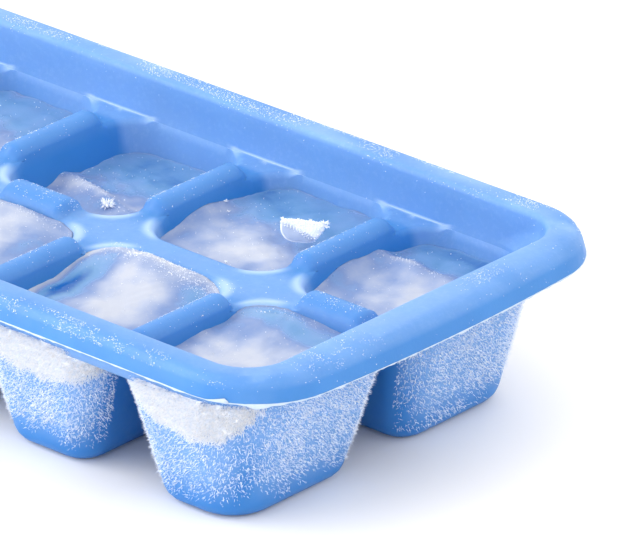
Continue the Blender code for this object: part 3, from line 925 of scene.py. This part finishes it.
def openWall(points):
    # One where a cell's outer wall is open to the air, nought where it has gone into web or ledge
    radius = trayShape["cornerRadius"] + trayShape["wall"]
    wide, deep = trayShape["cavityEnd"] + 1.1, trayShape["cavityFar"] + 1.2
    x = np.clip(np.abs(points[..., 0]) - (wide - radius), 0.0, None)
    y = np.clip(np.abs(points[..., 1]) - (deep - radius), 0.0, None)
    return ((points[..., 2] < 26.9) | (np.hypot(x, y) > radius - 0.35)).astype(float)


def crustSkin(grid, normal, thick, flip):
    # A closed crust: the wall's points moved out by the thickness, the same wall inside the plastic,
    # and quads that close it above, below and at both ends
    shell, inside = grid.copy(), grid.copy()
    shell[..., :2] += normal * thick[..., None]
    inside[..., :2] -= normal * crustShape["inside"]
    rows, columns = grid.shape[:2]
    faces = gridFaces(2 * rows, columns, False, flip)
    closing = gridFaces(2, columns, False, flip)
    closing = np.where(closing >= columns, closing - columns, closing + (2 * rows - 1) * columns)
    caps = []
    for station in (0, columns - 1):
        up = np.arange(rows) * columns + station
        down = (2 * rows - 1 - np.arange(rows)) * columns + station
        quad = np.stack([up[:-1], up[1:], down[1:], down[:-1]], -1)
        caps.append(quad if (station == 0) != flip else quad[:, ::-1])
    points = np.concatenate([shell, inside[::-1]]).reshape(-1, 3)
    return points, np.concatenate([faces, closing, *caps])


def makeFrost(column, row, material):
    # The frost of one cell: single needles on the outer wall, and spikes over a white crust where it is
    # packed. The crust is a second wall that lies inside the plastic except where the frost is thick.
    name = cellName(column, row)
    skin = -trayShape["wall"]
    samples = cellSamples(column, trayShape["webTop"], skin)
    last, first = isEnd(column)
    across, along = samples["normal"][:, 0], samples["normal"][:, 1]
    outer = (along > 0.02) | (last & (across > 0.35)) | (first & (across < -0.35))
    stations = joinedStart(np.flatnonzero(outer))
    heights = np.linspace(crustShape["low"], crustShape["high"], crustShape["rows"])
    mirror = np.array([1.0, float(row), 1.0])
    grid = np.stack([cellPoints(samples, height, skin)[stations] for height in heights]) * mirror
    centre = np.array([columnMiddle(column), 25.0 * row, 14.0])
    shown = shownFrost.get(name, shownElsewhere)
    source = np.random.default_rng(300 + 10 * column + (row > 0))

    def loose(points):
        spread, packed = wallFrost(points, column, row)
        return needleShape["density"] * spread * (1.0 - 0.8 * packed) * openWall(points) * (0.5 + 0.5 * shown)

    def packedHere(points):
        spread, packed = wallFrost(points, column, row)
        return spikeShape["density"] * (packed + 0.05 * spread) * openWall(points) * (0.3 + 0.7 * shown)

    parts = []
    for shape, density, grow in ((needleShape, loose, needles), (spikeShape, packedHere, spikes)):
        place, outward = scatter(grid, density, source, int(shape["most"] * shown))
        outward = outward * np.sign(np.sum(outward * (place - centre), 1, keepdims=True))
        length = source.uniform(*shape["length"], len(place))
        width = shape["width"] * source.uniform(0.7, 1.3, len(place))
        parts.append(grow(place, outward, length, width, shape["lay"], source))
    points, triangles = joinParts(parts)
    points[:, 2] = np.maximum(points[:, 2], 0.05)
    spread, packed = wallFrost(grid, column, row)
    rough = crustShape["thick"] + crustShape["rough"] * ripple(grid, 1.1, 70 + column)
    thick = crustShape["hidden"] + packed * openWall(grid) * rough
    crust, quads = crustSkin(grid, samples["normal"][stations] * mirror[:2], thick, row < 0)
    piece = putMesh("hoarfrost_" + name, np.concatenate([points, crust]), [triangles, quads + len(points)],
                    material, flat=True)
    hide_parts("frost_" + name)


print("frost: outer walls")
frostMaterial = makeFrostMaterial()
for row in (-1, 1):
    for column in range(trayShape["columns"]):
        makeFrost(column, row, frostMaterial)

# Small frost: the sizes of grains on the plastic and on the ice, the most that a surface gets, the
# patches where grains lie thick as (x, y, half width, half depth, turn), and the loose stars as
# (column, row, x, y, size, spikes)
grainShape = dict(size=(0.05, 0.12), iceSize=(0.06, 0.14), iceSpike=(0.2, 0.6), spikeWidth=0.06,
                  mostRim=17000, mostBars=2500, mostIce=4500, barRings=18)
grainPatches = dict(corner=(148.2, -30.0, 3.4, 9.0), end=(147.2, 18.0, 1.3, 4.5),
                    endLine=(152.6, 30.0, 1.0, 14.0), fringe=(82.0, -4.6, 15.0, 1.0),
                    coat=(85.0, -7.5, 13.0, 3.6), farRidge=(113.0, 32.5, 9.0, 1.3),
                    ridge=(35.0, 21.5, 12.0, 1.9, -14.0), spineEdge=(44.0, -6.5, 12.0, 2.0),
                    endEdge=(118.0, -7.0, 12.0, 1.6))
stars = [(4, 1, 43.4, 17.4, 2.3, 44), (3, 1, 11.1, 36.5, 0.9, 14), (5, 1, 68.5, 28.5, 0.6, 10),
         (5, 1, 86.0, 33.0, 0.5, 8), (5, 1, 93.5, 26.0, 0.5, 8), (5, 1, 84.0, 9.5, 0.6, 10),
         (5, 1, 66.0, 30.5, 1.0, 14), (3, 1, 8.0, 20.0, 0.8, 12)]


def rimGrains(points):
    # Grains per square millimetre on the rim: streaks on the back, the front's outer edge, two patches
    y, z = points[..., 1], points[..., 2]
    streak = ripple(points * np.array([0.22, 1.0, 1.0]), 4.0, 61)
    clump = ripple(points * np.array([0.6, 1.0, 1.0]), 1.5, 62)
    drift = ripple(points, 17.0, 63)
    back = 5.5 * smooth((y - 47.0) / 2.0) * smooth((z - 37.0) / 0.8) * smooth((streak + 0.1) / 0.7)
    streaky = smooth((0.45 * clump + 0.6 * streak + 0.4 * drift + 0.1) / 0.9)
    front = 8.5 * smooth((-y - 50.6) / 2.0) * smooth((z - 36.0) / 0.6) * streaky
    corner = 8.0 * hill(points, *grainPatches["corner"]) * smooth((0.7 * clump + 0.5 * streak + 0.2) / 0.7)
    end = 6.0 * hill(points, *grainPatches["end"])
    end = end + 1.2 * hill(points, *grainPatches["endLine"]) * smooth(clump / 0.5)
    ends = np.maximum(corner, end) * smooth((z - 35.6) / 0.6)
    return np.maximum(np.maximum(back, front), ends) + 0.05 * smooth((z - 34.5) / 0.5)


def barGrains(points):
    # Grains on the bars' tops and left edges, along the front openings' far edge, and a few on the web
    x, y, z = points[..., 0], points[..., 1], points[..., 2]
    pitch = trayShape["pitch"]
    across = (x / pitch - 0.5 - np.round(x / pitch - 0.5)) * pitch
    clump = ripple(points, 2.6, 64)
    onBar = smooth((z - 29.6) / 0.8) * smooth((30.0 - np.abs(y)) / 10.0 + 0.6)
    left = np.exp(-((across + 1.9) / 0.9) ** 2) * smooth((clump + 0.45) / 0.6) * (np.abs(y) > 10.0)
    spine = 0.9 * smooth((3.2 - np.abs(y)) / 0.6) * smooth((clump + 0.1) / 0.6)
    fringe = 2.2 * hill(points, *grainPatches["fringe"]) * smooth((clump + 0.3) / 0.6)
    fringe = fringe * smooth((29.7 - z) / 0.3)
    return onBar * (5.0 * left + 3.5 * spine + 0.2) + 3.0 * fringe + 0.06 * smooth((z - 28.6) / 0.3)


def iceGrains(points):
    # Frost on the ice: a coat by the spine in one front cell, and along the ridges of two back cells
    clump = ripple(points, 1.6, 65)
    coat = 14.0 * hill(points, *grainPatches["coat"]) * smooth((clump + 0.4) / 0.6)
    ridges = 7.0 * hill(points, *grainPatches["farRidge"]) + 5.0 * hill(points, *grainPatches["ridge"])
    edges = 2.0 * hill(points, *grainPatches["spineEdge"]) + 1.2 * hill(points, *grainPatches["endEdge"])
    return coat + ridges * smooth((clump + 0.5) / 0.6) + edges + 0.10


def starCrystal(middle, size, count, source):
    # A loose star: spikes that leave one place flat to all sides, some of them standing up
    angle = source.uniform(0.0, 2.0 * math.pi, count)
    lift = source.uniform(0.1, 0.9, count)
    direction = np.stack([np.cos(angle), np.sin(angle), lift], -1)
    direction /= np.linalg.norm(direction, axis=1, keepdims=True)
    place = middle + direction * source.uniform(0.0, 0.55 * size, (count, 1)) + np.array([0.0, 0.0, 0.05])
    length = source.uniform(0.35, 0.8, count) * size
    return spikes(place, direction, length, np.full(count, 0.10 * size + 0.04), 0.35, source)


def topPlace(column, row, x, y):
    # The point of a cell's ice that lies nearest to a place in plan
    points = iceTops[(column, row)].reshape(-1, 3)
    return points[np.argmin((points[:, 0] - x) ** 2 + (points[:, 1] - y) ** 2)]


def makeGrains():
    # Grains on the rim and bars, grains and spikes in equal numbers on the ice, and the loose stars
    source = np.random.default_rng(900)
    surfaces = [(rim, -1.0, rimGrains, grainShape["mostRim"])]
    for mirror in (1.0, -1.0):
        for shell in innerShells:
            bars = shell[0][:grainShape["barRings"]] * np.array([1.0, mirror, 1.0])
            surfaces.append((bars, mirror, barGrains, grainShape["mostBars"]))
    parts = []
    for grid, sign, density, most in surfaces:
        place, outward = scatter(grid, density, source, most)
        if len(place):
            size = source.uniform(*grainShape["size"], len(place))
            parts.append(specks(place, outward * sign, size, source))
    for grid in iceTops.values():
        place, outward = scatter(grid, iceGrains, source, grainShape["mostIce"])
        outward = outward * np.sign(outward[:, 2:])
        half = len(place) // 2
        size = source.uniform(*grainShape["iceSize"], half)
        parts.append(specks(place[:half], outward[:half], size, source))
        length = source.uniform(*grainShape["iceSpike"], len(place) - half)
        width = np.full(len(length), grainShape["spikeWidth"])
        parts.append(spikes(place[half:], outward[half:], length, width, 0.9, source))
    for column, row, x, y, size, count in stars:
        parts.append(starCrystal(topPlace(column, row, x, y), size, count, source))
    points, triangles = joinParts(parts)
    piece = putMesh("frost_grains", points, [triangles], frostMaterial, flat=True)
    print("grains:", len(triangles), "triangles")


print("frost: grains and crystals")
makeGrains()

# The ice that hangs along the skirt's lower edge, with a sheet and a drop near one corner. The sheet
# stands between two places along the front, and its corners are (distance outwards, share of the rise).
edgeIce = dict(step=0.8, ring=10, middle=-0.7, level=34.02, reach=0.84, depth=0.20, least=0.08, above=0.22,
               drop=(147.2, -50.2), dropDepth=0.8, dropWidth=2.4, sheet=(137.4, 142.6), sheetFoot=33.95,
               sheetCorners=((-0.05, 0.0), (0.22, 0.0), (0.16, 1.0), (0.04, 1.0)),
               colour=(0.62, 0.76, 0.95), pale=(0.74, 0.84, 0.97), roughness=0.3, transmission=0.30)


def makeEdgeMaterial():
    # Two pale blues in patches, partly clear
    material, tree, place, shader = newMaterial("edge ice", edgeIce["roughness"], 1.31)
    mottle = rangeNode(tree, noiseNode(tree, place, 600.0, 3.0), 0.3, 0.7)
    colour = mixColour(tree, mottle, edgeIce["colour"], edgeIce["pale"])
    tree.links.new(colour, shader.inputs["Base Color"])
    shader.inputs["Transmission Weight"].default_value = edgeIce["transmission"]
    return material


def skirtPath():
    # Evenly spaced places along the skirt's lower edge, with the direction that points outwards
    low = rim[:, :, 2].mean(1) < 34.4
    ring = rim[np.argmax(np.where(low, np.abs(rim[:, :, 1]).mean(1), 0.0))]
    closed = np.concatenate([ring, ring[:1]])[:, :2]
    length = np.concatenate([[0.0], np.cumsum(np.linalg.norm(np.diff(closed, axis=0), axis=1))])
    at = np.arange(0.0, length[-1], length[-1] / round(length[-1] / edgeIce["step"]))
    path = np.stack([np.interp(at, length, closed[:, axis]) for axis in (0, 1)], -1)
    along = np.roll(path, -1, axis=0) - np.roll(path, 1, axis=0)
    along /= np.linalg.norm(along, axis=1, keepdims=True)
    return path, np.stack([along[:, 1], -along[:, 0]], -1)


def edgeBead(path, outward):
    # Rings of places round the skirt's edge, deeper where the drop hangs
    spots = np.column_stack([path, np.zeros(len(path))])
    dropX, dropY = edgeIce["drop"]
    away = np.hypot(path[:, 0] - dropX, path[:, 1] - dropY)
    drop = edgeIce["dropDepth"] * np.exp(-(away / edgeIce["dropWidth"]) ** 2)
    depth = edgeIce["depth"] * (1.2 + 0.9 * ripple(spots, 5.0, 80) + 0.5 * ripple(spots, 1.7, 81)) + drop
    depth = np.maximum(depth, edgeIce["least"])
    reach = edgeIce["reach"] + 0.05 * ripple(spots, 3.0, 82)
    angle = np.linspace(0.0, 2.0 * math.pi, edgeIce["ring"], endpoint=False)
    across = edgeIce["middle"] + np.cos(angle)[None] * reach[:, None]
    lift = np.sin(angle)[None]
    hanging = edgeIce["level"] + (lift - 0.25) * depth[:, None]
    standing = edgeIce["level"] + lift * np.minimum(depth, edgeIce["above"])[:, None]
    height = np.where(lift > 0, standing, hanging)
    place = path[:, None] + outward[:, None] * across[..., None]
    return np.concatenate([place, height[..., None]], -1)


def edgeSheet(path, outward):
    # A thin sheet that stands on the edge and gets higher towards the corner
    low, high = edgeIce["sheet"]
    along = np.flatnonzero((path[:, 0] > low) & (path[:, 0] < high) & (path[:, 1] < 0))
    share = np.linspace(0.0, 1.0, len(along))
    rise = 0.12 + 0.95 * (share / 0.85).clip(0, 1) ** 1.1 * smooth((1.08 - share) / 0.2)
    loops = []
    for across, up in edgeIce["sheetCorners"]:
        flat = path[along] + outward[along] * across
        loops.append(np.column_stack([flat, edgeIce["sheetFoot"] + rise * up]))
    return np.stack(loops, 1)


def makeEdgeIce():
    # The bead and the sheet as one piece, the sheet closed at both ends
    path, outward = skirtPath()
    bead, sheet = edgeBead(path, outward), edgeSheet(path, outward)
    count = bead.shape[0] * bead.shape[1]
    faces = gridFaces(len(path) + 1, bead.shape[1], True, True) % count
    sheetFaces = gridFaces(len(sheet), 4, True, True) + count
    last = count + (len(sheet) - 1) * 4
    ends = np.array([(count, count + 1, count + 2, count + 3), (last + 3, last + 2, last + 1, last)])
    points = np.concatenate([bead.reshape(-1, 3), sheet.reshape(-1, 3)])
    piece = putMesh("skirt_edge_ice", points, [faces, sheetFaces, ends], makeEdgeMaterial())


print("ice along the skirt")
makeEdgeIce()

# The loose flake: outline in its own plane, standing on a back cell's ice and leaning back. Shares are
# where its rings run between the middle and the outline, and clumps are star crystals as (x, y, size).
flakeShape = dict(outline=[(-4.5, 4.8), (-4.7, 3.6), (-4.5, 2.0), (-3.4, 0.6), (-1.8, 0.1), (0.8, 0.0),
                           (2.6, 0.3), (3.6, 1.6), (4.6, 3.2), (4.5, 4.5), (3.6, 4.5), (0.0, 4.8)],
                  shares=(0.08, 0.2, 0.35, 0.5, 0.65, 0.78, 0.88, 0.95, 0.99), stations=96, pivot=2.5,
                  centre=(91.8, 24.8, 29.6), turn=33.0, lean=62.0, thick=0.62, roughness=0.22,
                  colour=(0.56, 0.65, 0.84), pale=(0.86, 0.90, 0.97), grains=900,
                  clumps=((4.6, 4.4, 1.3), (4.9, 3.6, 1.1), (-4.4, 4.8, 0.6), (-1.0, 4.8, 0.5),
                          (1.5, 4.7, 0.6)))


def turnedPair(first, second, degrees):
    # Two coordinates turned about the third one's axis
    c, s = math.cos(math.radians(degrees)), math.sin(math.radians(degrees))
    return c * first - s * second, s * first + c * second


def flakePlaces(points):
    # From the flake's own plane to its place on the ice: tipped back, turned and moved
    moved = points - np.array([0.0, flakeShape["pivot"], 0.0])
    y, z = turnedPair(moved[..., 1], moved[..., 2], flakeShape["lean"])
    x, y = turnedPair(moved[..., 0], y, flakeShape["turn"])
    return np.stack([x, y, z], -1) + np.array(flakeShape["centre"])


def flakeOutline():
    # The outline at even steps, each place averaged with the two on either side of it
    corners = np.array(flakeShape["outline"])
    closed = np.concatenate([corners, corners[:1]])
    length = np.concatenate([[0.0], np.cumsum(np.linalg.norm(np.diff(closed, axis=0), axis=1))])
    at = np.linspace(0.0, length[-1], flakeShape["stations"], endpoint=False)
    line = np.stack([np.interp(at, length, closed[:, axis]) for axis in (0, 1)], -1)
    return sum(np.roll(line, k, axis=0) for k in (-2, -1, 0, 1, 2)) / 5.0


def makeFlakeMaterial():
    # White by the rime mark and a mottle, and clear where that is low
    material, tree, place, shader = newMaterial("clear flake", flakeShape["roughness"], 1.31)
    mottle = rangeNode(tree, noiseNode(tree, place, 900.0, 3.0), 0.3, 0.7, 0.75, 1.1)
    white = rangeNode(tree, mathNode(tree, "MULTIPLY", markNode(tree, "rime"), mottle), 0.0, 1.0)
    colour = mixColour(tree, white, flakeShape["colour"], flakeShape["pale"])
    tree.links.new(colour, shader.inputs["Base Color"])
    clear = rangeNode(tree, white, 0.0, 0.8, 0.4, 0.0)
    tree.links.new(clear, shader.inputs["Transmission Weight"])
    return material


def makeFlake():
    # A lens: rings from the middle out to the outline and back on the other side, rounded at the edge
    line = flakeOutline()
    middle = line.mean(0)
    half = flakeShape["thick"]
    upper = [(share, 1.0) for share in flakeShape["shares"]]
    lower = [(share, -1.0) for share in flakeShape["shares"][::-1]]
    rings = []
    for share, side in upper + [(1.0, 0.0)] + lower:
        flat = middle + (line - middle) * share
        spot = np.column_stack([flat, np.full(len(flat), 3.0 * side)])
        depth = side * half * np.sqrt(1.0 - share ** 6) * (1.0 + 0.12 * ripple(spot, 2.5, 90))
        rings.append(np.column_stack([flat, np.broadcast_to(depth, len(flat))]))
    grid = np.stack(rings)
    rows, columns = grid.shape[:2]
    points, faceSets = closedSkin(grid, [*middle, half], [*middle, -half], True)
    shade = 0.35 * points[:, 0] + points[:, 1] - 1.9 + 0.35 * ripple(points, 2.2, 91)
    border = np.zeros(len(points))
    border[:rows * columns] = np.repeat(np.abs(np.linspace(-1, 1, rows)) < 0.3, columns)
    rime = np.maximum(smooth(shade / 1.2), 0.9 * border)
    piece = putMesh("ice_flake", flakePlaces(points), faceSets, makeFlakeMaterial(), dict(rime=rime))
    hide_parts("ice_chip")
    makeFlakeFrost(grid[:rows // 2 + 1])


def makeFlakeFrost(upper):
    # Grains and spikes on the flake's upper side, towards its top, and a few clumps on its border
    source = np.random.default_rng(95)
    count = flakeShape["grains"]
    row, column = source.integers(0, len(upper), count), source.integers(0, upper.shape[1], count)
    flat = upper[row, column]
    keep = (0.35 * flat[:, 0] + flat[:, 1] - 2.1 + source.normal(0.0, 0.35, count)) > 0.0
    place = flakePlaces(upper)[row, column][keep]
    number = len(place)
    pivot = flakeShape["pivot"]
    foot, tip = flakePlaces(np.array([[0.0, pivot, 0.0], [0.0, pivot, 1.0]]))
    outward = np.tile(tip - foot, (number, 1))
    parts = [specks(place, outward, source.uniform(0.10, 0.22, number), source),
             spikes(place, outward, source.uniform(0.2, 0.5, number), np.full(number, 0.07), 0.8, source)]
    for x, y, size in flakeShape["clumps"]:
        parts.append(starCrystal(flakePlaces(np.array([x, y, 0.0])), size, 22, source))
    points, triangles = joinParts(parts)
    frost = putMesh("flake_frost", points, [triangles], frostMaterial, flat=True)


print("the loose flake")
makeFlake()

# The floor, the light and the camera. A light is its name, width in metres, watts, place and target.
studio = dict(floor=(0.95, 0.935, 0.92), floorHalf=4000.0, skyStrength=1.50, skyColour=(1.0, 0.99, 0.985),
              lights=(("key", 0.9, 9.0, (-1.0, -0.8, 1.0), (0.05, 0.0, 0.0)),
                      ("low front", 0.8, 9.5, (-0.8, -1.3, 0.24), (0.05, 0.0, 0.02))))
cameraSetup = dict(focal=515.92, azimuth=41.6, elevation=24.7, roll=0.2, target=(102.8, 16.1, 25.0),
                   distance=1842.0)


def makeFloor():
    # One pale square under the tray
    material, tree, place, shader = newMaterial("studio floor", 0.7)
    tone = rangeNode(tree, noiseNode(tree, place, 6.0, 2.0), 0.3, 0.7)
    pale = studio["floor"]
    darker = tuple(0.985 * value for value in pale)
    tree.links.new(mixColour(tree, tone, pale, darker), shader.inputs["Base Color"])
    shader.inputs["Specular IOR Level"].default_value = 0.1
    corners = np.array([(-1, -1, 0), (1, -1, 0), (1, 1, 0), (-1, 1, 0)]) * studio["floorHalf"]
    data = bpy.data.meshes.new("studio_floor")
    data.from_pydata((corners * mm).tolist(), [], [(0, 1, 2, 3)])
    data.materials.append(material)
    floor = bpy.data.objects.new("studio_floor", data)
    bpy.context.scene.collection.objects.link(floor)


def makeLight(name, size, power, place, target):
    # A round lamp turned towards its target
    lamp = bpy.data.lights.new(name, "AREA")
    lamp.shape = "DISK"
    lamp.size = size
    lamp.energy = power
    item = bpy.data.objects.new(name, lamp)
    item.location = place
    way = Vector(target) - Vector(place)
    item.rotation_euler = way.to_track_quat("-Z", "Y").to_euler()
    bpy.context.scene.collection.objects.link(item)


def makeCamera():
    # The camera looks along its own back axis, built from azimuth and elevation and then rolled
    az, el = math.radians(cameraSetup["azimuth"]), math.radians(cameraSetup["elevation"])
    roll = math.radians(cameraSetup["roll"])
    back = Vector((math.sin(az) * math.cos(el), -math.cos(az) * math.cos(el), math.sin(el)))
    right = Vector((math.cos(az), math.sin(az), 0.0))
    up = back.cross(right)
    sideways = right * math.cos(roll) + up * math.sin(roll)
    upwards = up * math.cos(roll) - right * math.sin(roll)
    place = (Vector(cameraSetup["target"]) + back * cameraSetup["distance"]) * mm
    data = bpy.data.cameras.new("photo_view")
    data.lens = cameraSetup["focal"]
    data.sensor_width = 36.0
    data.clip_end = 50.0
    item = bpy.data.objects.new("photo_view", data)
    columns = [(*axis, 0.0) for axis in (sideways, upwards, back)] + [(*place, 1.0)]
    item.matrix_world = Matrix(columns).transposed()
    bpy.context.scene.collection.objects.link(item)
    bpy.context.scene.camera = item


def makeSky():
    # An even, nearly white sky, and colours shown without a film curve
    world = bpy.data.worlds.new("soft sky")
    world.use_nodes = True
    background = world.node_tree.nodes["Background"]
    background.inputs["Color"].default_value = (*studio["skyColour"], 1.0)
    background.inputs["Strength"].default_value = studio["skyStrength"]
    bpy.context.scene.world = world
    bpy.context.scene.view_settings.view_transform = "Standard"


print("studio")
makeFloor()
for light in studio["lights"]:
    makeLight(*light)
makeCamera()
makeSky()
